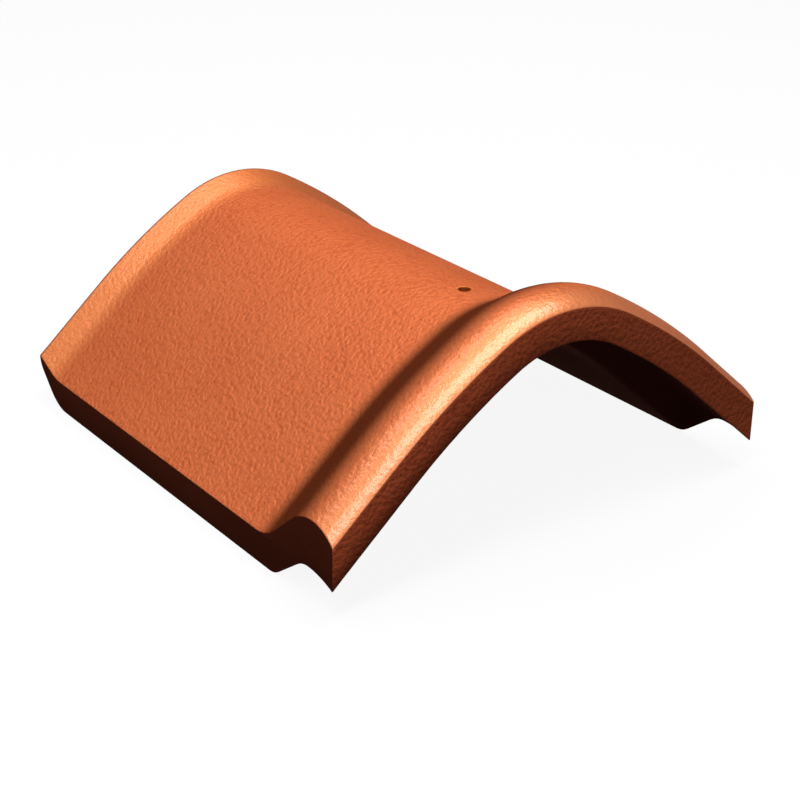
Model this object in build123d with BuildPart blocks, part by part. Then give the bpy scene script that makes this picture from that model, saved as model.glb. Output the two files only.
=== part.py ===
from build123d import *
import os
from math import cos, radians, sin, tan

# Ridge tile: one fired clay piece. Its lengthwise section, with a rolled bead over a
# socket at the near end and a flared lip at the far end, is swept across the arch.
# The ridge runs along Y, near end at -Y, and Z is up. Lengths are in millimetres.

# Overall
LENGTH = 276.4  # along the ridge, from the bead's end face to the tip of the lip
WIDTH = 250.0  # across both legs
WALL = 12.2  # thickness of the plain body
EDGE_RADIUS = 0.8  # softened corners of the end face and of the lip

# Arch of the body's top surface, from the crown down to a leg
CROWN_RADIUS = 60.5
CROWN_ANGLE = 29.0  # slope where the crown gives way to the flank
LEG_ANGLE = 41.1  # slope of the straight part of a leg
LEG_RUN = 41.0  # width of that straight part, seen from above

# Bead at the near end, standing up from the body's top surface
BEAD_HEIGHT = 18.5
BEAD_CREST_AT = 15.0  # set back from the end face
BEAD_FACE_ANGLE = 36.9  # turn of the roll from its crest to the end face
BEAD_BACK_RADIUS = 30.0
BEAD_BACK_SLOPE = 33.0
BEAD_FOOT_RADIUS = 28.0

# Socket under the bead, cut up from the body's underside
SOCKET_DEPTH = 12.5
SOCKET_CREST_AT = 19.0  # set back from the end face
SOCKET_MOUTH_ANGLE = 18.6  # turn of the roof from its crest to the end face
SOCKET_CREST_RADIUS = 16.8
SOCKET_SLOPE = 29.0
SOCKET_FOOT_RADIUS = 15.5

# Flared lip at the far end, with a bevelled nose under it
LIP_RISE = 6.2
LIP_SLOPE = 19.0
LIP_FOOT_RADIUS = 30.0
NOSE_TIP_RADIUS = 8.0
NOSE_SLOPE = 39.5
NOSE_HEEL_RADIUS = 26.0

# Fixing hole through the crown, behind the bead
HOLE_DIAMETER = 6.0
HOLE_AT = 73.3  # from the end face


def straight_part(rise, slope, *radii):
    """Length of a slope that makes up a rise with the tangent arcs at its ends."""
    rise_of_arcs = sum(radii) * (1 - cos(radians(slope)))
    return (rise - rise_of_arcs) / sin(radians(slope))


near_end = -LENGTH / 2
far_end = LENGTH / 2

# The flank takes up the width that the crown and the straight legs leave
crown = radians(CROWN_ANGLE)
leg = radians(LEG_ANGLE)
flank_run = WIDTH / 2 - LEG_RUN - CROWN_RADIUS * sin(crown)
flank_radius = flank_run / (sin(leg) - sin(crown))

# The swept legs run on past the width, so that they can be trimmed upright
trim_run = 2 * WALL * sin(leg)
leg_length = (LEG_RUN + trim_run) / cos(leg)

# The trimmed legs stand on their lower edges at Z = 0
leg_edge_top = WALL / cos(leg)
crown_top = (
    leg_edge_top
    + LEG_RUN * tan(leg)
    + flank_radius * (cos(crown) - cos(leg))
    + CROWN_RADIUS * (1 - cos(crown))
)
foot = (-WIDTH / 2 - trim_run, leg_edge_top - trim_run * tan(leg))

# Section across the path at its start: local X along the ridge, local Y out of the arch
section_plane = Plane(
    origin=(foot[0], 0, foot[1]), x_dir=(0, 1, 0), z_dir=(cos(leg), 0, sin(leg))
)

with BuildPart() as ridge_tile:
    # Arch of the body's top surface, over the crown from one foot to the other
    with BuildLine(Plane.XZ) as arch:
        up = PolarLine(foot, leg_length, angle=LEG_ANGLE)
        up_flank = JernArc(up @ 1, up % 1, flank_radius, CROWN_ANGLE - LEG_ANGLE)
        over = JernArc(up_flank @ 1, up_flank % 1, CROWN_RADIUS, -2 * CROWN_ANGLE)
        down_flank = JernArc(over @ 1, over % 1, flank_radius, CROWN_ANGLE - LEG_ANGLE)
        PolarLine(down_flank @ 1, leg_length, direction=down_flank % 1)

    with BuildSketch(section_plane) as section:
        with BuildLine():
            # Bead: forward from its crest to the end face
            bead_crest = (near_end + BEAD_CREST_AT, BEAD_HEIGHT)
            face_radius = BEAD_CREST_AT / sin(radians(BEAD_FACE_ANGLE))
            face_roll = JernArc(bead_crest, (-1, 0), face_radius, BEAD_FACE_ANGLE)

            # Bead: back from its crest and down its slope to the body
            back = JernArc(bead_crest, (1, 0), BEAD_BACK_RADIUS, -BEAD_BACK_SLOPE)
            back_length = straight_part(
                BEAD_HEIGHT, BEAD_BACK_SLOPE, BEAD_BACK_RADIUS, BEAD_FOOT_RADIUS
            )
            back_slope = PolarLine(back @ 1, back_length, direction=back % 1)
            bead_foot = JernArc(
                back_slope @ 1, back_slope % 1, BEAD_FOOT_RADIUS, BEAD_BACK_SLOPE
            )

            # Lip: traced inwards from its tip down to the body
            lip_tip = (far_end, LIP_RISE)
            lip_length = straight_part(LIP_RISE, LIP_SLOPE, LIP_FOOT_RADIUS)
            lip_slope = PolarLine(lip_tip, lip_length, angle=180 + LIP_SLOPE)
            lip_foot = JernArc(
                lip_slope @ 1, lip_slope % 1, LIP_FOOT_RADIUS, -LIP_SLOPE
            )
            Line(bead_foot @ 1, lip_foot @ 1)

            # Nose: from the tip down its bevel to the underside
            nose_turn = 90 - NOSE_SLOPE
            nose_tip = JernArc(lip_tip, (0, -1), NOSE_TIP_RADIUS, -nose_turn)
            bevel_rise = LIP_RISE + WALL - NOSE_TIP_RADIUS * sin(radians(nose_turn))
            bevel_length = straight_part(bevel_rise, NOSE_SLOPE, NOSE_HEEL_RADIUS)
            bevel = PolarLine(nose_tip @ 1, bevel_length, direction=nose_tip % 1)
            heel = JernArc(bevel @ 1, bevel % 1, NOSE_HEEL_RADIUS, -NOSE_SLOPE)

            # Socket: forward from the crest of its roof to the end face
            roof_crest = (near_end + SOCKET_CREST_AT, SOCKET_DEPTH - WALL)
            mouth_radius = SOCKET_CREST_AT / sin(radians(SOCKET_MOUTH_ANGLE))
            mouth = JernArc(roof_crest, (-1, 0), mouth_radius, SOCKET_MOUTH_ANGLE)

            # Socket: back from the crest and down to the underside
            roof = JernArc(roof_crest, (1, 0), SOCKET_CREST_RADIUS, -SOCKET_SLOPE)
            ramp_length = straight_part(
                SOCKET_DEPTH, SOCKET_SLOPE, SOCKET_CREST_RADIUS, SOCKET_FOOT_RADIUS
            )
            ramp = PolarLine(roof @ 1, ramp_length, direction=roof % 1)
            ramp_foot = JernArc(ramp @ 1, ramp % 1, SOCKET_FOOT_RADIUS, SOCKET_SLOPE)
            Line(ramp_foot @ 1, heel @ 1)

            # Flat end face
            Line(mouth @ 1, face_roll @ 1)
        make_face()
        ends = section.vertices().group_by(Axis.X)
        fillet(ends[0] + ends[-1], EDGE_RADIUS)

    sweep(path=arch.line)

    # Both legs are trimmed upright at the tile's width
    split(bisect_by=Plane.YZ.offset(WIDTH / 2), keep=Keep.BOTTOM)
    split(bisect_by=Plane.YZ.offset(-WIDTH / 2), keep=Keep.TOP)

    with Locations((0, near_end + HOLE_AT, crown_top)):
        Hole(HOLE_DIAMETER / 2, depth=2 * WALL)

ridge_tile.part.label = "ridge_tile"

os.makedirs("parts", exist_ok=True)
export_step(ridge_tile.part, "parts/ridge_tile.step")
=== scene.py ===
import logging
import math
from dataclasses import dataclass, field
from enum import Enum
from typing import ClassVar

import bpy
from mathutils import Matrix, Quaternion, Vector


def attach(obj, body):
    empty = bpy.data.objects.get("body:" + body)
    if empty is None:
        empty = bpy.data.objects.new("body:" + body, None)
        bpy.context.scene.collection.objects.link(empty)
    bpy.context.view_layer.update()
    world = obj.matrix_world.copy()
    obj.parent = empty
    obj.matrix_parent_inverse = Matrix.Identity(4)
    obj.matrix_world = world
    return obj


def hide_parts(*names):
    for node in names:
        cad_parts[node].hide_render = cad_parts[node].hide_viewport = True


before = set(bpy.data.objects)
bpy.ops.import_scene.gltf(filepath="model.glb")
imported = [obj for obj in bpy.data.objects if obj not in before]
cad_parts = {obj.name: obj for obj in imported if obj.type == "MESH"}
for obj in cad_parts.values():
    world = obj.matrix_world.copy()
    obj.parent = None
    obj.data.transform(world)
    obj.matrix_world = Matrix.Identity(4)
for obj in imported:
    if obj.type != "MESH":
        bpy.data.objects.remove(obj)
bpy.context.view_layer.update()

LOG = logging.getLogger("ridge_tile")

MM = 0.001
Colour = tuple[float, float, float, float]
WHITE: Colour = (1.0, 1.0, 1.0, 1.0)
Socket = bpy.types.NodeSocket
# A plain value or an output socket for an input, and such feeds by the input's name or number.
Feed = object
Feeds = dict[str | int, Feed]


class Face(Enum):
    """Faces of the section: their shares of emboss and of gloss, and the number of their finish."""

    BODY = (1.0, 0.0, 2.0)
    ROLL = (0.27, 1.0, 2.0)
    BEAD = (0.8, 0.2, 2.0)
    LIP = (0.3, 0.5, 2.0)
    END = (0.8, 0.0, 1.0)
    UNDER = (0.0, 0.0, 0.0)


class Attribute(Enum):
    """Point attributes that carry the flat section through the sweep."""

    ALONG = "along_ridge"
    OFFSET = "off_body"
    ACROSS = "across_arch"
    EMBOSS = "emboss"
    GLOSS = "gloss"
    FINISH = "finish"


class Rise(Enum):
    """Ways in which a share rises from 0 to 1."""

    EVEN = "LINEAR"
    SMOOTH = "SMOOTHSTEP"


class TreeKind(Enum):
    """Kinds of node tree."""

    SHAPE = "GeometryNodeTree"
    SHADER = "ShaderNodeTree"


class NodeBoard:
    """Adds nodes to one tree and joins their sockets."""

    # Numbers of the Mix node's sockets for colours.
    COLOURS_IN = (6, 7)
    COLOUR_OUT = 2

    def __init__(self, tree: bpy.types.NodeTree) -> None:
        """Take the tree that the nodes go into."""
        self.tree = tree

    def add(self, kind: str, feeds: Feeds | None = None, **options: object) -> bpy.types.Node:
        """Add one node.

        Args:
            kind: Blender's name for the type of node.
            feeds: what goes into its inputs.
            options: properties of the node, set before its inputs.

        Returns:
            The new node.
        """
        node = self.tree.nodes.new(kind)
        for name, value in options.items():
            setattr(node, name, value)
        for name, value in (feeds or {}).items():
            self.feed(node.inputs[name], value)
        return node

    def output(self, kind: str, feeds: Feeds | None = None, **options: object) -> Socket:
        """Add one node, as add() does, and give its first output."""
        return self.add(kind, feeds, **options).outputs[0]

    def feed(self, socket: Socket, value: Feed) -> None:
        """Link an output to an input, or set the input to a plain value."""
        if isinstance(value, Socket):
            self.tree.links.new(value, socket)
        else:
            socket.default_value = value

    def math(self, operation: str, *values: Feed) -> Socket:
        """Add a Math node for some values, in order."""
        return self.output("ShaderNodeMath", dict(enumerate(values)), operation=operation)

    def vector(self, operation: str, *values: Feed) -> Socket:
        """Add a Vector Math node for some vectors, in order."""
        return self.output("ShaderNodeVectorMath", dict(enumerate(values)), operation=operation)

    def axis(self, vector: Feed, name: str) -> Socket:
        """Read X, Y or Z of a vector."""
        return self.add("ShaderNodeSeparateXYZ", {"Vector": vector}).outputs[name]

    def mix(self, share: Feed, first: Feed, second: Feed) -> Socket:
        """Mix two colours, by the share of the second."""
        feeds = {"Factor": share} | dict(zip(self.COLOURS_IN, (first, second)))
        return self.add("ShaderNodeMix", feeds, data_type="RGBA").outputs[self.COLOUR_OUT]

    def ramp(self, value: Feed, start: float, end: float, rise: Rise = Rise.SMOOTH) -> Socket:
        """Rise from 0 to 1 between two values, of which the second may be the lower."""
        feeds = {"Value": value, "From Min": start, "From Max": end}
        return self.output("ShaderNodeMapRange", feeds, interpolation_type=rise.value)

    def noise(self, place: Feed, size: Feed, detail: float, roughness: float = 0.5, **more: Feed) -> Socket:
        """Add a Noise Texture.

        Args:
            place: where it is read.
            size: rough size of its grains.
            detail: number of finer layers.
            roughness: strength of the finer layers.
            more: its seed (W), where it has one, and its Distortion.

        Returns:
            The noise, about 0.5 on the whole.
        """
        scale = self.math("DIVIDE", 1.0, size)
        feeds = {"Vector": place, "Scale": scale, "Detail": detail, "Roughness": roughness} | more
        return self.output("ShaderNodeTexNoise", feeds, noise_dimensions="4D" if "W" in more else "3D")

    def store(self, geometry: Feed, name: Attribute, value: Feed) -> Socket:
        """Store a float on each point of a geometry."""
        feeds = {"Geometry": geometry, "Name": name.value, "Value": value}
        return self.output("GeometryNodeStoreNamedAttribute", feeds, data_type="FLOAT", domain="POINT")

    def attribute(self, name: Attribute) -> Socket:
        """Read a float attribute in a Geometry Nodes tree."""
        node = self.add("GeometryNodeInputNamedAttribute", {"Name": name.value}, data_type="FLOAT")
        return node.outputs["Attribute"]

    def shader_attribute(self, name: Attribute) -> Socket:
        """Read a float attribute in a material."""
        return self.add("ShaderNodeAttribute", attribute_name=name.value).outputs["Fac"]


class NodeGroup:
    """Node tree with named inputs and outputs, listed by what they carry."""

    NAME: ClassVar[str]
    KIND: ClassVar[TreeKind]
    INPUTS: ClassVar[dict[str, tuple[str, ...]]]
    OUTPUTS: ClassVar[dict[str, tuple[str, ...]]]

    def __init__(self) -> None:
        """Open the sockets and lay the nodes between them."""
        self.tree = bpy.data.node_groups.new(self.NAME, self.KIND.value)
        self.board = NodeBoard(self.tree)
        for in_out, listed in (("INPUT", self.INPUTS), ("OUTPUT", self.OUTPUTS)):
            for kind, names in listed.items():
                for name in names:
                    self.tree.interface.new_socket(name, in_out=in_out, socket_type=f"NodeSocket{kind}")
        self.inputs = self.board.add("NodeGroupInput").outputs
        self.board.add("NodeGroupOutput", self.lay_nodes())

    def lay_nodes(self) -> dict[str, Socket]:
        """Lay the nodes, and return what each named output gives."""
        raise NotImplementedError


@dataclass(frozen=True)
class ArchSizes:
    """Arch of the body's top surface: a tight crown, wide flanks and straight legs."""

    width: float = 250.0 * MM
    wall: float = 12.2 * MM
    crown_radius: float = 60.5 * MM
    crown_angle: float = math.radians(29.0)
    leg_angle: float = math.radians(41.1)
    leg_run: float = 41.0 * MM

    @property
    def flank_radius(self) -> float:
        """Radius that takes up the width between the crown and the straight leg."""
        run = self.width / 2 - self.leg_run - self.crown_radius * math.sin(self.crown_angle)
        return run / (math.sin(self.leg_angle) - math.sin(self.crown_angle))

    @property
    def leg_start(self) -> float:
        """Distance of the straight leg's start from the middle of the tile."""
        return self.width / 2 - self.leg_run

    @property
    def crown_top(self) -> float:
        """Height of the body's top surface at the crown, over the floor."""
        leg_edge = self.wall / math.cos(self.leg_angle)
        leg_rise = self.leg_run * math.tan(self.leg_angle)
        flank_rise = self.flank_radius * (math.cos(self.crown_angle) - math.cos(self.leg_angle))
        crown_rise = self.crown_radius * (1 - math.cos(self.crown_angle))
        return leg_edge + leg_rise + flank_rise + crown_rise


@dataclass
class SectionPen:
    """Pen that walks round the section in straights and arcs and leaves points behind."""

    # The most of a step that the rounding of a corner takes up.
    LARGEST_SHARE: ClassVar[float] = 0.95

    along: float
    offset: float
    heading: float = 0.0
    shares: list[float] | None = None
    points: list[tuple[float, ...]] = field(default_factory=list)
    corners: list[tuple[int, float]] = field(default_factory=list)

    def line(self, length: float, step: float, face: Face) -> None:
        """Walk straight on over a face, with points about a step apart."""
        self._walk(length, 0.0, step, face)

    def arc(self, radius: float, turn: float, step: float, face: Face) -> None:
        """Walk round a tangent arc of a face, to the left where the turn is positive."""
        self._walk(radius * abs(turn), turn, step, face)

    def corner(self, turn: float) -> None:
        """Turn on the spot and remember the corner, where the shares start afresh."""
        self.corners.append((len(self.points), turn))
        self.heading += turn
        self.shares = None

    def soften(self, radius: float, count: int) -> None:
        """Round off every corner, once the whole outline is drawn.

        Args:
            radius: radius of the rounding, which stays within the steps beside the corner.
            count: number of points on each rounding.
        """
        for index, turn in reversed(self.corners):
            reach = radius * math.tan(abs(turn) / 2)
            tip = self.points[index]
            before = self._part_way(tip, self.points[index - 1], reach)
            after = self._part_way(tip, self.points[index + 1], reach)
            curve = []
            for step in range(count):
                share = step / (count - 1)
                weights = ((1 - share) ** 2, 2 * share * (1 - share), share**2)
                corner_points = zip(before, tip, after)
                curve.append(tuple(sum(w * p for w, p in zip(weights, axis)) for axis in corner_points))
            self.points[index:index + 1] = curve

    @staticmethod
    def _part_way(start: tuple[float, ...], end: tuple[float, ...], reach: float) -> tuple[float, ...]:
        """Give the point at a distance from one point of the outline towards its neighbour."""
        share = min(reach / math.dist(start[:2], end[:2]), SectionPen.LARGEST_SHARE)
        return tuple(a + (b - a) * share for a, b in zip(start, end))

    def _walk(self, length: float, turn: float, step: float, face: Face) -> None:
        """Leave points along an even curve, without its end, while the shares fade to the face's own.

        Args:
            length: length of the curve.
            turn: whole turn over that length.
            step: rough distance between points.
            face: the face that the stretch belongs to.
        """
        count = max(1, round(length / step))
        *goal, finish = face.value
        start = self.shares or goal
        for index in range(count):
            shares = [a + (b - a) * index / count for a, b in zip(start, goal)]
            self.points.append((self.along, self.offset, *shares, finish))
            half_turn = turn / count / 2
            chord = length / count
            if half_turn:
                chord *= math.sin(half_turn) / half_turn
            self.along += chord * math.cos(self.heading + half_turn)
            self.offset += chord * math.sin(self.heading + half_turn)
            self.heading += 2 * half_turn
        self.shares = goal


@dataclass(frozen=True)
class SectionSizes:
    """Lengthwise section: distances from the near end face, heights off the body's top."""

    length: float = 276.4 * MM
    wall: float = 12.2 * MM

    bead_height: float = 18.5 * MM
    bead_crest_at: float = 15.0 * MM
    bead_face_angle: float = math.radians(36.9)
    bead_back_radius: float = 30.0 * MM
    bead_back_slope: float = math.radians(33.0)
    bead_foot_radius: float = 28.0 * MM

    socket_depth: float = 12.5 * MM
    socket_crest_at: float = 19.0 * MM
    socket_mouth_angle: float = math.radians(18.6)
    socket_crest_radius: float = 16.8 * MM
    socket_slope: float = math.radians(29.0)
    socket_foot_radius: float = 15.5 * MM

    lip_rise: float = 6.2 * MM
    lip_slope: float = math.radians(19.0)
    lip_foot_radius: float = 30.0 * MM
    nose_tip_radius: float = 8.0 * MM
    nose_slope: float = math.radians(39.5)
    nose_heel_radius: float = 26.0 * MM

    corner_radius: float = 0.85 * MM
    corner_points: int = 6
    outer_step: float = 1.3 * MM
    end_step: float = 1.4 * MM
    under_step: float = 3.0 * MM

    @staticmethod
    def straight_part(rise: float, slope: float, *radii: float) -> float:
        """Length of a slope's straight part, where its rise includes the tangent arcs at its ends."""
        return (rise - sum(radii) * (1 - math.cos(slope))) / math.sin(slope)

    def outline(self) -> list[tuple[float, ...]]:
        """Walk once round the section, from the crest of the bead.

        Returns:
            Points of distance from the near end, height off the body, emboss, gloss and finish.
        """
        pen = SectionPen(self.bead_crest_at, self.bead_height)
        self._draw_outer(pen)
        self._draw_nose(pen)
        self._draw_under(pen)
        self._draw_near_end(pen)
        pen.soften(self.corner_radius, self.corner_points)
        return pen.points

    def _draw_outer(self, pen: SectionPen) -> None:
        """Draw the back of the bead, the body and the flare of the lip."""
        step = self.outer_step
        radii = (self.bead_back_radius, self.bead_foot_radius)
        pen.arc(self.bead_back_radius, -self.bead_back_slope, step, Face.BEAD)
        pen.line(self.straight_part(self.bead_height, self.bead_back_slope, *radii), step, Face.BEAD)
        pen.arc(self.bead_foot_radius, self.bead_back_slope, step, Face.BODY)
        flare = self.straight_part(self.lip_rise, self.lip_slope, self.lip_foot_radius)
        flare_run = flare * math.cos(self.lip_slope) + self.lip_foot_radius * math.sin(self.lip_slope)
        pen.line(self.length - flare_run - pen.along, step, Face.BODY)
        pen.arc(self.lip_foot_radius, self.lip_slope, step, Face.LIP)
        pen.line(flare, step, Face.LIP)
        pen.corner(-self.lip_slope - math.pi / 2)

    def _draw_nose(self, pen: SectionPen) -> None:
        """Draw the rounded nose and its bevel, from the tip of the lip to the underside."""
        turn = math.pi / 2 - self.nose_slope
        rise = self.lip_rise + self.wall - self.nose_tip_radius * math.sin(turn)
        bevel = self.straight_part(rise, self.nose_slope, self.nose_heel_radius)
        pen.arc(self.nose_tip_radius, -turn, self.end_step, Face.END)
        pen.line(bevel, self.end_step, Face.UNDER)
        pen.arc(self.nose_heel_radius, -self.nose_slope, self.end_step, Face.UNDER)

    def _draw_under(self, pen: SectionPen) -> None:
        """Draw the underside and the roof of the socket, up to the near end face."""
        radii = (self.socket_crest_radius, self.socket_foot_radius)
        ramp = self.straight_part(self.socket_depth, self.socket_slope, *radii)
        ramp_run = ramp * math.cos(self.socket_slope) + sum(radii) * math.sin(self.socket_slope)
        mouth_radius = self.socket_crest_at / math.sin(self.socket_mouth_angle)
        step = self.under_step
        pen.line(pen.along - self.socket_crest_at - ramp_run, step, Face.UNDER)
        pen.arc(self.socket_foot_radius, -self.socket_slope, step, Face.UNDER)
        pen.line(ramp, step, Face.UNDER)
        pen.arc(self.socket_crest_radius, self.socket_slope, step, Face.UNDER)
        pen.arc(mouth_radius, self.socket_mouth_angle, step, Face.UNDER)
        pen.corner(-self.socket_mouth_angle - math.pi / 2)

    def _draw_near_end(self, pen: SectionPen) -> None:
        """Draw the flat end face and the front roll of the bead, back up to its crest."""
        roll_radius = self.bead_crest_at / math.sin(self.bead_face_angle)
        roll_drop = roll_radius * (1 - math.cos(self.bead_face_angle))
        pen.line(self.bead_height - roll_drop - pen.offset, self.end_step, Face.END)
        pen.corner(self.bead_face_angle - math.pi / 2)
        half_turn = -self.bead_face_angle / 2
        pen.arc(roll_radius, half_turn, self.outer_step, Face.ROLL)
        pen.arc(roll_radius, half_turn, self.outer_step, Face.BEAD)


class SweepTree(NodeGroup):
    """Geometry Nodes tree that carries the flat section over the arch and presses its relief."""

    NAME = "tile_over_arch"
    KIND = TreeKind.SHAPE
    INPUTS = {
        "Geometry": ("Section",),
        "Int": ("Columns",),
        "Float": (
            "Half Width", "Crown Top", "Crown Radius", "Crown Angle", "Flank Radius", "Leg Angle",
            "Leg Start", "Near End", "Relief Depth", "Plain Edge", "Grain Size", "Wrinkle", "Seed",
        ),
        "Material": ("Slipped", "Raw", "Shaded"),
    }
    OUTPUTS = {"Geometry": ("Tile",)}
    # Farther across the arch than this lie only the trimmed sides.
    INSIDE = 0.99999
    # What the number of a face's finish is over, for each clay.
    LEAST_FINISH = {"Raw": 0.5, "Slipped": 1.5}

    def lay_nodes(self) -> dict[str, Socket]:
        """Lay out the sweep, the bend, the relief and the finish.

        Returns:
            The tile.
        """
        output = self.board.output
        sizes = self.inputs
        line = output("GeometryNodeCurvePrimitiveLine", {"Start": (-1, 0, 0), "End": (1, 0, 0)})
        feeds = {"Curve": line, "Count": sizes["Columns"]}
        columns = output("GeometryNodeResampleCurve", feeds, mode="COUNT")
        across = self.board.axis(output("GeometryNodeInputPosition"), "X")
        marked = self.board.store(columns, Attribute.ACROSS, across)
        profile = output("GeometryNodeMeshToCurve", {"Mesh": sizes["Section"]})
        feeds = {"Curve": marked, "Profile Curve": profile, "Fill Caps": True}
        flat = output("GeometryNodeCurveToMesh", feeds)
        outward = output("GeometryNodeFlipFaces", {"Mesh": flat})
        bent = output("GeometryNodeSetPosition", {"Geometry": outward, "Position": self._bend()})
        pressed = output("GeometryNodeSetPosition", {"Geometry": bent, "Offset": self._relief()})
        smooth = output("GeometryNodeSetShadeSmooth", {"Geometry": pressed})
        real = output("GeometryNodeRealizeInstances", {"Geometry": smooth})
        # The shaded clay, nearly black as painted shade, stays on the underside and the trimmed sides.
        clay = output("GeometryNodeSetMaterial", {"Geometry": real, "Material": sizes["Shaded"]})
        for name, least in self.LEAST_FINISH.items():
            feeds = {"Geometry": clay, "Selection": self._finished(least), "Material": sizes[name]}
            clay = output("GeometryNodeSetMaterial", feeds)
        return {"Tile": clay}

    def _finished(self, least: float) -> Socket:
        """Choose the faces with a finish over some number, without the trimmed sides.

        Args:
            least: what the number of their finish has to be over.

        Returns:
            The choice of faces.
        """
        board = self.board
        across = board.math("ABSOLUTE", board.attribute(Attribute.ACROSS))
        finished = board.math("GREATER_THAN", board.attribute(Attribute.FINISH), least)
        return board.math("MULTIPLY", board.math("LESS_THAN", across, self.INSIDE), finished)

    def _bend(self) -> Socket:
        """Place each point of the flat sweep on the arch.

        Returns:
            The bent position.
        """
        calc = self.board.math
        sizes = self.inputs
        across = self.board.attribute(Attribute.ACROSS)
        offset = self.board.attribute(Attribute.OFFSET)
        along = self.board.attribute(Attribute.ALONG)
        crown, crown_angle = sizes["Crown Radius"], sizes["Crown Angle"]
        flank, leg_angle = sizes["Flank Radius"], sizes["Leg Angle"]

        crown_length = calc("MULTIPLY", crown, crown_angle)
        flank_turn = calc("SUBTRACT", leg_angle, crown_angle)
        flank_length = calc("MULTIPLY", flank, flank_turn)
        leg_run = calc("SUBTRACT", sizes["Half Width"], sizes["Leg Start"])
        leg_length = calc("DIVIDE", leg_run, calc("COSINE", leg_angle))
        bend_length = calc("ADD", crown_length, flank_length)
        whole = calc("ADD", bend_length, leg_length)

        gone = calc("MULTIPLY", calc("ABSOLUTE", across), whole)
        on_crown = calc("DIVIDE", calc("MINIMUM", gone, crown_length), crown)
        past_crown = calc("DIVIDE", calc("SUBTRACT", gone, crown_length), flank)
        on_flank = calc("MINIMUM", calc("MAXIMUM", past_crown, 0.0), flank_turn)
        past_bend = calc("MAXIMUM", calc("SUBTRACT", gone, bend_length), 0.0)
        leg_share = calc("DIVIDE", past_bend, leg_length)
        slope = calc("ADD", on_crown, on_flank)
        flank_slope = calc("ADD", crown_angle, on_flank)

        crown_out = calc("MULTIPLY", crown, calc("SINE", on_crown))
        crown_down = calc("MULTIPLY", crown, calc("SUBTRACT", 1.0, calc("COSINE", on_crown)))
        flank_run = calc("SUBTRACT", calc("SINE", flank_slope), calc("SINE", crown_angle))
        flank_out = calc("MULTIPLY", flank, flank_run)
        flank_drop = calc("SUBTRACT", calc("COSINE", crown_angle), calc("COSINE", flank_slope))
        flank_down = calc("MULTIPLY", flank, flank_drop)

        offset_out = calc("MULTIPLY", offset, calc("SINE", slope))
        trimmed_run = calc("MULTIPLY", leg_share, calc("SUBTRACT", leg_run, offset_out))
        curve_out = calc("ADD", calc("ADD", crown_out, flank_out), offset_out)
        side = calc("MULTIPLY", calc("ADD", curve_out, trimmed_run), calc("SIGN", across))

        leg_down = calc("MULTIPLY", trimmed_run, calc("TANGENT", leg_angle))
        down = calc("ADD", calc("ADD", crown_down, flank_down), leg_down)
        body_height = calc("SUBTRACT", sizes["Crown Top"], down)
        height = calc("ADD", body_height, calc("MULTIPLY", offset, calc("COSINE", slope)))
        ridge = calc("ADD", along, sizes["Near End"])
        return self.board.output("ShaderNodeCombineXYZ", {"X": side, "Y": ridge, "Z": height})

    def _relief(self) -> Socket:
        """Press a shallow uneven relief into the embossed faces, never out of them.

        Returns:
            The offset of each point.
        """
        board = self.board
        sizes = self.inputs
        place = board.output("GeometryNodeInputPosition")
        seed, wrinkle = sizes["Seed"], sizes["Wrinkle"]
        noise = board.noise(place, sizes["Grain Size"], detail=1.0, W=seed, Distortion=wrinkle)
        edge = board.math("SUBTRACT", 1.0, board.math("ABSOLUTE", board.attribute(Attribute.ACROSS)))
        inside = board.math("MINIMUM", board.math("DIVIDE", edge, sizes["Plain Edge"]), 1.0)
        share = board.math("MULTIPLY", board.attribute(Attribute.EMBOSS), inside)
        depth = board.math("MULTIPLY", noise, board.math("MULTIPLY", share, sizes["Relief Depth"]))
        inward = board.math("MULTIPLY", depth, -1.0)
        feeds = {"Vector": board.output("GeometryNodeInputNormal"), "Scale": inward}
        return board.output("ShaderNodeVectorMath", feeds, operation="SCALE")


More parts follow.
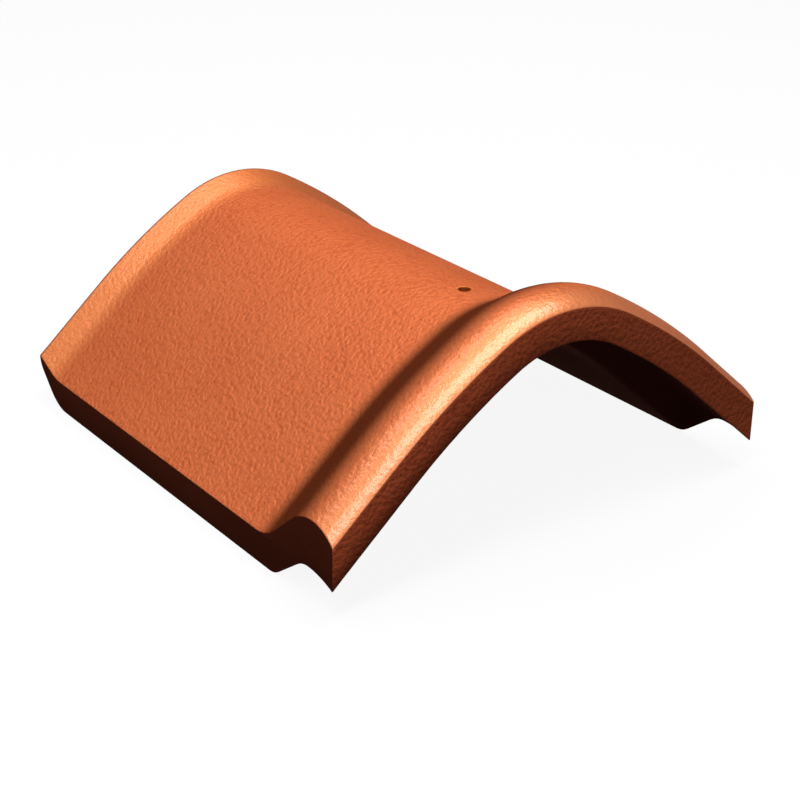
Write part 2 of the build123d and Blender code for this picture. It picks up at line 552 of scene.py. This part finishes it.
class HoleTree(NodeGroup):
    """Geometry Nodes tree that drills the fixing hole and softens its rim."""

    NAME = "fixing_hole"
    KIND = TreeKind.SHAPE
    INPUTS = {
        "Geometry": ("Tile",),
        "Float": ("Radius", "Depth", "Rim"),
        "Vector": ("Place",),
        "Material": ("Slipped",),
    }
    OUTPUTS = {"Geometry": ("Drilled",)}
    SIDES = 64
    # Sizes of the flare, in widths of the rim.
    FLARE_OUT = 2.0
    FLARE_DEPTH = 3.0
    FLARE_SINK = -2.0
    # The most that the normal of an upright face points up or down.
    UPWARD = 0.5

    def lay_nodes(self) -> dict[str, Socket]:
        """Lay out the cut and the finish of the hole.

        Returns:
            The drilled tile.
        """
        board = self.board
        sizes = self.inputs
        wide = board.math("ADD", sizes["Radius"], board.math("MULTIPLY", sizes["Rim"], self.FLARE_OUT))
        cut = board.add(
            "GeometryNodeMeshBoolean", {"Mesh 1": sizes["Tile"]}, operation="DIFFERENCE", solver="MANIFOLD"
        )
        for tool in (self._drill(), self._flare(wide)):
            board.feed(cut.inputs["Mesh 2"], tool)
        smooth = board.output("GeometryNodeSetShadeSmooth", {"Geometry": cut.outputs["Mesh"]})
        real = board.output("GeometryNodeRealizeInstances", {"Geometry": smooth})
        feeds = {"Geometry": real, "Selection": self._wall(wide), "Material": sizes["Slipped"]}
        return {"Drilled": board.output("GeometryNodeSetMaterial", feeds)}

    def _drill(self) -> Socket:
        """Make the drill, marked so that the hole has the body's finish.

        Returns:
            The drill in its place.
        """
        board = self.board
        feeds = {"Vertices": self.SIDES, "Radius": self.inputs["Radius"], "Depth": self.inputs["Depth"]}
        marked = board.store(board.output("GeometryNodeMeshCylinder", feeds), Attribute.EMBOSS, 1.0)
        feeds = {"Geometry": marked, "Translation": self.inputs["Place"]}
        return board.output("GeometryNodeTransform", feeds)

    def _flare(self, wide: Socket) -> Socket:
        """Make the cone that softens the upper rim.

        Args:
            wide: radius of the cone's top.

        Returns:
            The cone in its place.
        """
        board = self.board
        rim = self.inputs["Rim"]
        feeds = {
            "Vertices": self.SIDES,
            "Radius Top": wide,
            "Radius Bottom": board.math("SUBTRACT", self.inputs["Radius"], rim),
            "Depth": board.math("MULTIPLY", rim, self.FLARE_DEPTH),
        }
        cone = board.output("GeometryNodeMeshCone", feeds)
        sunk = board.output("ShaderNodeCombineXYZ", {"Z": board.math("MULTIPLY", rim, self.FLARE_SINK)})
        place = board.vector("ADD", self.inputs["Place"], sunk)
        return board.output("GeometryNodeTransform", {"Geometry": cone, "Translation": place})

    def _wall(self, wide: Socket) -> Socket:
        """Choose the upright faces near the hole's axis.

        Args:
            wide: how far from the axis they may lie.

        Returns:
            The choice of faces.
        """
        board = self.board
        spot = board.output("GeometryNodeInputPosition")
        from_axis = board.vector("SUBTRACT", spot, self.inputs["Place"])
        level = board.vector("MULTIPLY", from_axis, (1, 1, 0))
        away = board.add("ShaderNodeVectorMath", {0: level}, operation="LENGTH").outputs["Value"]
        upward = board.math("ABSOLUTE", board.axis(board.output("GeometryNodeInputNormal"), "Z"))
        upright = board.math("LESS_THAN", upward, self.UPWARD)
        return board.math("MULTIPLY", board.math("LESS_THAN", away, wide), upright)


@dataclass(frozen=True)
class Grain:
    """The emboss that both the relief and the clay's bump follow."""

    size: float = 2.1 * MM
    wrinkle: float = 0.15
    seed: float = 4.0

    def feeds(self) -> dict[str, float]:
        """Give a value for each input of a tree that takes the emboss."""
        return {"Grain Size": self.size, "Wrinkle": self.wrinkle, "Seed": self.seed}


class EmbossGroup(NodeGroup):
    """Shader group of the leather-like emboss: a height and a mask of its hollows."""

    NAME = "leather_emboss"
    KIND = TreeKind.SHADER
    INPUTS = {"Vector": ("Vector",), "Float": ("Grain Size", "Wrinkle", "Seed")}
    OUTPUTS = {"Float": ("Height", "Hollow")}
    # The noise at which a mask is 0, and at which it is 1.
    HOLLOWS = (0.5, 0.3)

    def lay_nodes(self) -> dict[str, Socket]:
        """Lay out the noise of the emboss.

        Returns:
            Its height and the mask of its hollows.
        """
        place, size = self.inputs["Vector"], self.inputs["Grain Size"]
        seed, wrinkle = self.inputs["Seed"], self.inputs["Wrinkle"]
        height = self.board.noise(place, size, detail=2.0, W=seed, Distortion=wrinkle)
        return {"Height": height, "Hollow": self.board.ramp(height, *self.HOLLOWS, Rise.EVEN)}


class ToneGroup(NodeGroup):
    """Shader group of the uneven firing: soft clouds and fine grains of colour."""

    NAME = "firing_tone"
    KIND = TreeKind.SHADER
    INPUTS = {"Vector": ("Vector",), "Float": ("Cloud Size", "Speck Size")}
    OUTPUTS = {"Float": ("Cloud", "Speck")}
    # The noise at which a mask is 0, and at which it is 1.
    CLOUDS = (0.3, 0.7)
    SPECKS = (0.58, 0.75)

    def lay_nodes(self) -> dict[str, Socket]:
        """Lay out the two noises of the firing.

        Returns:
            The masks of the clouds and of the specks.
        """
        board = self.board
        place = self.inputs["Vector"]
        cloud = board.noise(place, self.inputs["Cloud Size"], detail=4.0, roughness=0.55)
        speck = board.noise(place, self.inputs["Speck Size"], detail=2.0, roughness=0.6)
        return {
            "Cloud": board.ramp(cloud, *self.CLOUDS, Rise.EVEN),
            "Speck": board.ramp(speck, *self.SPECKS, Rise.EVEN),
        }


@dataclass(frozen=True)
class PaintedShade:
    """Painted shade: part of the clay painted darker and made duller, where the tile lies in shade."""

    colour: Colour
    roughness: float = 0.9

    def mask(self, board: NodeBoard, place: Socket) -> Socket:
        """Show where the painted shade lies.

        Args:
            board: where the nodes go.
            place: Object coordinates.

        Returns:
            1 on the painted shade, fading out beside it.
        """
        raise NotImplementedError


@dataclass(frozen=True)
class PaintedShadeBand(PaintedShade):
    """Painted shade in a band across the ridge, which starts, is full, fades and ends at four places along
    it.
    """

    spans: tuple[float, float, float, float] = (-126.5 * MM, -109.0 * MM, -91.2 * MM, -77.6 * MM)

    def mask(self, board: NodeBoard, place: Socket) -> Socket:
        """Fade in and out again along the ridge.

        Args:
            board: where the nodes go.
            place: Object coordinates.

        Returns:
            1 in the middle of the band.
        """
        ridge = board.axis(place, "Y")
        start, full, fading, end = self.spans
        return board.math("MULTIPLY", board.ramp(ridge, start, full), board.ramp(ridge, end, fading))


@dataclass(frozen=True)
class PaintedRimShade(PaintedShade):
    """Painted shade that darkens an end face towards its lower rim, more on one leg than on the other."""

    height: float = 9.0 * MM
    lowest: float = -4.0 * MM
    reach: float = 90.0 * MM
    least: float = 0.38

    def mask(self, board: NodeBoard, place: Socket) -> Socket:
        """Fade out from the lower rim upwards on one leg, and stay even on the other.

        Args:
            board: where the nodes go.
            place: Object coordinates.

        Returns:
            1 at the lower rim of the leg that has most of it.
        """
        offset = board.shader_attribute(Attribute.OFFSET)
        side = board.ramp(board.axis(place, "X"), self.reach, -self.reach)
        rise = board.math("SUBTRACT", board.ramp(offset, self.height, self.lowest), self.least)
        return board.math("MULTIPLY_ADD", side, rise, self.least)


@dataclass(frozen=True)
class Polish:
    """Smoother finish of the clay where the emboss is faint, with a clear gloss on some faces."""

    colour: Colour
    roughness: float
    lustre: float
    gloss: float
    gloss_roughness: float
    gloss_index: float = 4.0


@dataclass
class Surface:
    """What the shader is fed with, while the finish is laid on step by step."""

    board: NodeBoard
    colour: Feed
    roughness: Feed
    lustre: Feed
    gloss: Feed = 0.0

    def tint(self, share: Socket, strength: float, colour: Colour) -> None:
        """Mix in some of a colour."""
        self.colour = self.board.mix(self.board.math("MULTIPLY", share, strength), self.colour, colour)


@dataclass(frozen=True)
class FiredClay:
    """Fired clay with a pressed leather-like emboss and an uneven tone."""

    name: str
    pale: Colour
    deep: Colour
    speck_and_hollow_shade: Colour
    hollow_shade_share: float
    speck_share: float
    roughness: float
    roughness_spread: float
    specular: float
    grain_depth: float
    polish: Polish | None = None
    lustre: float = 0.0
    edge_tint: Colour = WHITE
    grain: Grain = Grain()
    cloud_size: float = 55.0 * MM
    speck_size: float = 1.2 * MM
    least_bump: float = 0.1
    painted_shades: tuple[PaintedShade, ...] = ()

    def build(self, emboss: EmbossGroup, tone: ToneGroup) -> bpy.types.Material:
        """Build the material.

        Args:
            emboss: group that gives the emboss.
            tone: group that gives the uneven colour.

        Returns:
            The finished material.
        """
        material = bpy.data.materials.new(self.name)
        material.use_nodes = True
        material.diffuse_color = self.pale
        material.node_tree.nodes.clear()
        board = NodeBoard(material.node_tree)
        place = board.add("ShaderNodeTexCoord").outputs["Object"]
        share = board.shader_attribute(Attribute.EMBOSS)
        feeds = {"Vector": place} | self.grain.feeds()
        grain = board.add("ShaderNodeGroup", feeds, node_tree=emboss.tree).outputs
        feeds = {"Vector": place, "Cloud Size": self.cloud_size, "Speck Size": self.speck_size}
        firing = board.add("ShaderNodeGroup", feeds, node_tree=tone.tree).outputs

        surface = self._fire(board, firing["Cloud"])
        if self.polish is not None:
            self._rub(surface, share)
        surface.tint(firing["Speck"], self.speck_share, self.speck_and_hollow_shade)
        # Darker in the emboss hollows: partly the clay's own tone, partly painted shade of the grain's
        # relief.
        surface.tint(board.math("MULTIPLY", grain["Hollow"], share), self.hollow_shade_share, self.speck_and_hollow_shade)
        # Painted shades: bands and rims painted darker and made duller where the tile lies in shade.
        for painted_shade in self.painted_shades:
            self._lay_painted_shade(surface, painted_shade, painted_shade.mask(board, place))
        height = board.math("MULTIPLY", grain["Height"], board.math("MAXIMUM", share, self.least_bump))
        self._shade(surface, height)
        return material

    def _fire(self, board: NodeBoard, cloud: Socket) -> Surface:
        """Start with the uneven tone of the firing.

        Args:
            board: where the nodes go.
            cloud: mask of the paler clouds.

        Returns:
            The bare surface.
        """
        spread = self.roughness_spread / 2
        feeds = {"Value": cloud, "To Min": self.roughness - spread, "To Max": self.roughness + spread}
        rough = board.output("ShaderNodeMapRange", feeds)
        return Surface(board, board.mix(cloud, self.deep, self.pale), rough, self.lustre)

    def _rub(self, surface: Surface, share: Socket) -> None:
        """Lay the polish on.

        Args:
            surface: what is changed.
            share: share of the emboss, which the polish gives way to.
        """
        board = surface.board
        polish = self.polish
        faint = board.math("SUBTRACT", 1.0, share)
        surface.colour = board.mix(faint, surface.colour, polish.colour)
        smoother = polish.roughness - self.roughness
        surface.roughness = board.math("MULTIPLY_ADD", faint, smoother, surface.roughness)
        surface.lustre = board.math("MULTIPLY_ADD", faint, polish.lustre - self.lustre, self.lustre)
        surface.gloss = board.math("MULTIPLY", board.shader_attribute(Attribute.GLOSS), polish.gloss)

    def _lay_painted_shade(self, surface: Surface, painted_shade: PaintedShade, shade_mask: Socket) -> None:
        """Lay a painted shade on, which also makes the clay duller.

        Args:
            surface: what is changed.
            painted_shade: the painted shade.
            shade_mask: mask of where the painted shade lies.
        """
        board = surface.board
        surface.colour = board.mix(shade_mask, surface.colour, painted_shade.colour)
        rougher = board.math("SUBTRACT", painted_shade.roughness, surface.roughness)
        surface.roughness = board.math("MULTIPLY_ADD", shade_mask, rougher, surface.roughness)
        if self.polish is not None:
            clear = board.math("SUBTRACT", 1.0, shade_mask)
            surface.lustre = board.math("MULTIPLY", clear, surface.lustre)
            surface.gloss = board.math("MULTIPLY", clear, surface.gloss)

    def _shade(self, surface: Surface, height: Socket) -> None:
        """Add the bump and the shader.

        Args:
            surface: what the shader is fed with.
            height: height of the emboss, from 0 to 1.
        """
        board = surface.board
        feeds = {"Height": height, "Distance": self.grain_depth, "Strength": 1.0}
        normal = board.output("ShaderNodeBump", feeds)
        feeds = {
            "Base Color": surface.colour,
            "Roughness": surface.roughness,
            "Metallic": surface.lustre,
            "Specular Tint": self.edge_tint,
            "Specular IOR Level": self.specular,
            "Normal": normal,
        }
        if self.polish is not None:
            feeds |= {
                "Coat Weight": surface.gloss,
                "Coat Roughness": self.polish.gloss_roughness,
                "Coat IOR": self.polish.gloss_index,
                "Coat Normal": normal,
            }
        shader = board.output("ShaderNodeBsdfPrincipled", feeds)
        board.add("ShaderNodeOutputMaterial", {"Surface": shader})


# Painted shade: the valley behind the bead's crest is painted darker and duller, where the bead's back lies
# in shade.
VALLEY_PAINTED_SHADE = PaintedShadeBand((0.098, 0.0205, 0.007, 1.0))
# Painted shade: a thin dark band at the tip of the lip, where its rounded edge lies in shade.
LIP_TIP_PAINTED_SHADE = PaintedShadeBand((0.110, 0.030, 0.016, 1.0), spans=(136.4 * MM, 137.6 * MM, 140.0 * MM, 141.0 * MM))
# Painted shade: the end faces painted darker, evenly on one leg and towards the lower rim on the other.
END_RIM_PAINTED_SHADE = PaintedRimShade((0.075, 0.014, 0.006, 1.0))
SLIPPED_CLAY = FiredClay(
    name="slipped_clay",
    pale=(0.518, 0.132, 0.049, 1.0),
    deep=(0.492, 0.118, 0.044, 1.0),
    speck_and_hollow_shade=(0.375, 0.078, 0.027, 1.0),
    hollow_shade_share=0.55,
    speck_share=0.05,
    roughness=0.50,
    roughness_spread=0.06,
    polish=Polish((0.508, 0.145, 0.030, 1.0), 0.42, 0.80, gloss=0.12, gloss_roughness=0.25),
    specular=0.0,
    edge_tint=(0.10, 0.10, 0.10, 1.0),
    lustre=0.48,
    grain_depth=1.0 * MM,
    painted_shades=(VALLEY_PAINTED_SHADE, LIP_TIP_PAINTED_SHADE),
)
RAW_CLAY = FiredClay(
    name="raw_clay",
    pale=(0.475, 0.091, 0.033, 1.0),
    deep=(0.420, 0.078, 0.028, 1.0),
    speck_and_hollow_shade=(0.235, 0.042, 0.014, 1.0),
    hollow_shade_share=0.75,
    speck_share=0.35,
    roughness=0.80,
    roughness_spread=0.08,
    specular=0.05,
    grain_depth=1.5 * MM,
    painted_shades=(END_RIM_PAINTED_SHADE,),
)
# Painted shade: the underside and the trimmed sides are painted nearly black, where they lie in shade.
SHADED_UNDERSIDE_CLAY = FiredClay(
    name="shaded_underside_clay",
    pale=(0.086, 0.0185, 0.0095, 1.0),
    deep=(0.070, 0.015, 0.0075, 1.0),
    speck_and_hollow_shade=(0.050, 0.011, 0.006, 1.0),
    hollow_shade_share=0.30,
    speck_share=0.10,
    roughness=0.85,
    roughness_spread=0.08,
    specular=0.004,
    grain_depth=0.08 * MM,
)


@dataclass
class RidgeTile:
    """The tile: its section swept over its arch, with softened edges and a drilled hole."""

    arch: ArchSizes = field(default_factory=ArchSizes)
    section: SectionSizes = field(default_factory=SectionSizes)
    columns: int = 236
    edge_softening: float = 0.3 * MM
    edge_segments: int = 3
    edge_angle: float = math.radians(32.0)
    relief_depth: float = 0.15 * MM
    grain: Grain = field(default_factory=Grain)
    plain_edge: float = 0.03
    hole_radius: float = 3.0 * MM
    hole_at: float = 73.3 * MM
    hole_rim: float = 0.15 * MM
    drill_walls: float = 4.0

    def build(self, clays: dict[str, bpy.types.Material]) -> bpy.types.Object:
        """Make the tile as a plain mesh.

        Args:
            clays: materials by the name of the trees' input that takes them.

        Returns:
            The tile's object, at the origin.
        """
        piece = bpy.data.objects.new("ridge_tile_clay", self._section_mesh())
        bpy.context.scene.collection.objects.link(piece)
        self._add_tree(piece, SweepTree().tree, self._sweep_values() | clays)
        self._add_bevel(piece)
        self._add_tree(piece, HoleTree().tree, self._hole_values() | clays)
        self._make_plain(piece)
        return piece

    def dress(self, piece: bpy.types.Object) -> None:
        """Tell the frame what the piece stands for."""
        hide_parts("ridge_tile")
        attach(piece, "root")

    def _section_mesh(self) -> bpy.types.Mesh:
        """Lay the section's outline flat as a closed loop of edges.

        Returns:
            The loop, with its sizes, its shares of emboss and gloss and its finish as point attributes.
        """
        points = self.section.outline()
        count = len(points)
        mesh = bpy.data.meshes.new("tile_section")
        mesh.from_pydata(
            [(-point[0], -point[1], 0.0) for point in points],
            [(index, (index + 1) % count) for index in range(count)],
            [],
        )
        columns = (Attribute.ALONG, Attribute.OFFSET, Attribute.EMBOSS, Attribute.GLOSS, Attribute.FINISH)
        for place, name in enumerate(columns):
            layer = mesh.attributes.new(name.value, "FLOAT", "POINT")
            layer.data.foreach_set("value", [point[place] for point in points])
        return mesh

    def _sweep_values(self) -> dict[str, object]:
        """Give the sizes of the sweep over the arch.

        Returns:
            A value for each input of the sweep's tree, apart from its materials.
        """
        values = {
            "Columns": self.columns,
            "Half Width": self.arch.width / 2,
            "Crown Top": self.arch.crown_top,
            "Crown Radius": self.arch.crown_radius,
            "Crown Angle": self.arch.crown_angle,
            "Flank Radius": self.arch.flank_radius,
            "Leg Angle": self.arch.leg_angle,
            "Leg Start": self.arch.leg_start,
            "Near End": -self.section.length / 2,
            "Relief Depth": self.relief_depth,
            "Plain Edge": self.plain_edge,
        }
        return values | self.grain.feeds()

    def _add_bevel(self, piece: bpy.types.Object) -> None:
        """Soften the creases and the trimmed edges."""
        bevel = piece.modifiers.new("softened_edges", "BEVEL")
        bevel.width = self.edge_softening
        bevel.segments = self.edge_segments
        bevel.limit_method = "ANGLE"
        bevel.angle_limit = self.edge_angle
        bevel.use_clamp_overlap = False

    def _hole_values(self) -> dict[str, object]:
        """Give the sizes of the fixing hole through the crown.

        Returns:
            A value for each input of the hole's tree, apart from its material.
        """
        return {
            "Radius": self.hole_radius,
            "Depth": self.drill_walls * self.arch.wall,
            "Rim": self.hole_rim,
            "Place": Vector((0.0, self.hole_at - self.section.length / 2, self.arch.crown_top)),
        }

    @staticmethod
    def _add_tree(piece: bpy.types.Object, tree: bpy.types.NodeTree, values: dict[str, object]) -> None:
        """Add a Geometry Nodes modifier.

        Args:
            piece: object that gets it.
            tree: its tree.
            values: a value for each of the tree's named inputs.
        """
        modifier = piece.modifiers.new(tree.name, "NODES")
        modifier.node_group = tree
        for item in tree.interface.items_tree:
            if item.in_out == "INPUT" and item.name in values:
                modifier[item.identifier] = values[item.name]

    def _make_plain(self, piece: bpy.types.Object) -> None:
        """Turn the modifiers' result into the piece's own mesh."""
        graph = bpy.context.evaluated_depsgraph_get()
        graph.update()
        mesh = bpy.data.meshes.new_from_object(piece.evaluated_get(graph), depsgraph=graph)
        piece.modifiers.clear()
        section = piece.data
        piece.data = mesh
        bpy.data.meshes.remove(section)
        mesh.name = piece.name
        for name in (Attribute.ALONG, Attribute.ACROSS, Attribute.FINISH):
            layer = mesh.attributes.get(name.value)
            if layer is not None:
                mesh.attributes.remove(layer)
        mesh.set_sharp_from_angle(angle=self.edge_angle)


@dataclass(frozen=True)
class SoftLight:
    """One soft box that faces the tile, with its long side level or turned about its axis."""

    name: str
    direction: tuple[float, float, float]
    power: float
    width: float
    height: float
    turn: float = 0.0
    distance: float = 1.6
    target: tuple[float, float, float] = (0.0, 0.0, 0.06)

    def build(self) -> bpy.types.Object:
        """Hang the soft box.

        Returns:
            The light's object.
        """
        data = bpy.data.lights.new(self.name, "AREA")
        data.shape = "RECTANGLE"
        data.size = self.width
        data.size_y = self.height
        data.energy = self.power
        lamp = bpy.data.objects.new(self.name, data)
        towards = Vector(self.direction).normalized()
        lamp.location = Vector(self.target) + towards * self.distance
        turned = Quaternion((0.0, 0.0, 1.0), self.turn)
        lamp.rotation_euler = (towards.to_track_quat("Z", "Y") @ turned).to_euler()
        bpy.context.scene.collection.objects.link(lamp)
        return lamp


@dataclass
class Studio:
    """White floor, soft boxes, a faint white room and the camera of the photograph."""

    floor_half: float = 30.0
    floor_colour: Colour = (0.80, 0.80, 0.80, 1.0)
    floor_bounce: Colour = (0.09, 0.09, 0.09, 1.0)
    floor_glow_share: float = 0.91
    room_strength: float = 0.015
    lights: tuple[SoftLight, ...] = (
        SoftLight("key_box", (-0.10, -0.17, 0.980), 34.0, 2.6, 0.48, math.radians(46.0)),
        SoftLight("top_box", (-0.12, 0.36, 0.925), 11.0, 1.9, 0.30, math.radians(-11.0)),
        SoftLight("front_box", (-0.20, -0.85, 0.48), 5.0, 0.8, 0.6),
        SoftLight("back_box", (0.30, 0.77, 0.56), 2.4, 1.0, 0.6),
    )
    camera_place: tuple[float, float, float] = (-474.6 * MM, -657.2 * MM, 391.1 * MM)
    camera_turn: float = math.radians(-36.469)
    camera_tilt: float = math.radians(24.81)
    camera_roll: float = math.radians(0.506)
    lens: float = 78.2
    sensor: float = 36.0
    nearest: float = 0.01

    def build(self) -> None:
        """Set up the floor, the room, the lights and the camera."""
        bpy.context.scene.view_settings.view_transform = "Standard"
        self._floor()
        self._room()
        for light in self.lights:
            light.build()
        self._camera()

    def _floor(self) -> bpy.types.Object:
        """Lay the floor.

        Returns:
            The floor's object.
        """
        half = self.floor_half
        mesh = bpy.data.meshes.new("studio_floor")
        corners = [(-half, -half, 0.0), (half, -half, 0.0), (half, half, 0.0), (-half, half, 0.0)]
        mesh.from_pydata(corners, [], [(0, 1, 2, 3)])
        mesh.materials.append(self._floor_material())
        floor = bpy.data.objects.new("studio_floor", mesh)
        bpy.context.scene.collection.objects.link(floor)
        return floor

    def _floor_material(self) -> bpy.types.Material:
        """Make the floor white to the camera and quiet to the tile.

        Returns:
            The floor's material.
        """
        material = bpy.data.materials.new("studio_floor_white")
        material.use_nodes = True
        material.node_tree.nodes.clear()
        board = NodeBoard(material.node_tree)
        glow = board.output("ShaderNodeEmission", {"Color": WHITE, "Strength": 1.0})
        pale = board.output("ShaderNodeBsdfDiffuse", {"Color": self.floor_colour})
        quiet = board.output("ShaderNodeBsdfDiffuse", {"Color": self.floor_bounce})
        clear = board.output("ShaderNodeBsdfTransparent")
        below = board.add("ShaderNodeNewGeometry").outputs["Backfacing"]
        white = self._blend(board, self.floor_glow_share, pale, glow)
        shown = self._blend(board, self._seen(board), quiet, white)
        board.add("ShaderNodeOutputMaterial", {"Surface": self._blend(board, below, shown, clear)})
        return material

    @staticmethod
    def _blend(board: NodeBoard, share: Feed, first: Socket, second: Socket) -> Socket:
        """Mix two shaders, by the share of the second."""
        return board.output("ShaderNodeMixShader", {"Fac": share, 1: first, 2: second})

    @staticmethod
    def _seen(board: NodeBoard) -> Socket:
        """Tell the rays that show the background from those that light the tile.

        Args:
            board: where the nodes go.

        Returns:
            1 for camera, glossy and transmission rays.
        """
        path = board.add("ShaderNodeLightPath").outputs
        mirrored = board.math("MAXIMUM", path["Is Glossy Ray"], path["Is Transmission Ray"])
        return board.math("MAXIMUM", path["Is Camera Ray"], mirrored)

    def _room(self) -> None:
        """Make the room white to the camera and faint as a light."""
        world = bpy.data.worlds.new("studio_room")
        world.use_nodes = True
        bpy.context.scene.world = world
        world.node_tree.nodes.clear()
        board = NodeBoard(world.node_tree)
        feeds = {"Value": self._seen(board), "To Min": self.room_strength, "To Max": 1.0}
        strength = board.output("ShaderNodeMapRange", feeds)
        white = board.output("ShaderNodeBackground", {"Color": WHITE, "Strength": strength})
        board.add("ShaderNodeOutputWorld", {"Surface": white})

    def _camera(self) -> None:
        """Stand the camera where the photograph was taken."""
        turn, tilt, roll = self.camera_turn, self.camera_tilt, self.camera_roll
        back = Vector((math.sin(turn) * math.cos(tilt), -math.cos(turn) * math.cos(tilt), math.sin(tilt)))
        level = Vector((math.cos(turn), math.sin(turn), 0.0))
        upright = back.cross(level)
        right = level * math.cos(roll) + upright * math.sin(roll)
        up = upright * math.cos(roll) - level * math.sin(roll)
        data = bpy.data.cameras.new("photo_camera")
        data.lens = self.lens
        data.sensor_width = self.sensor
        data.sensor_fit = "HORIZONTAL"
        data.clip_start = self.nearest
        camera = bpy.data.objects.new("photo_camera", data)
        axes = Matrix((right, up, back)).transposed().to_4x4()
        camera.matrix_world = Matrix.Translation(self.camera_place) @ axes
        bpy.context.scene.collection.objects.link(camera)
        bpy.context.scene.camera = camera


def main() -> None:
    """Build the tile and the studio round it."""
    logging.basicConfig(level=logging.INFO, format="%(name)s: %(message)s")
    emboss, tone = EmbossGroup(), ToneGroup()
    tile = RidgeTile()
    clays = {"Slipped": SLIPPED_CLAY, "Raw": RAW_CLAY, "Shaded": SHADED_UNDERSIDE_CLAY}
    piece = tile.build({name: clay.build(emboss, tone) for name, clay in clays.items()})
    tile.dress(piece)
    LOG.info("%s: %d faces", piece.name, len(piece.data.polygons))
    Studio().build()
    LOG.info("studio: floor, room, lights and camera")


if __name__ == "__main__":
    main()
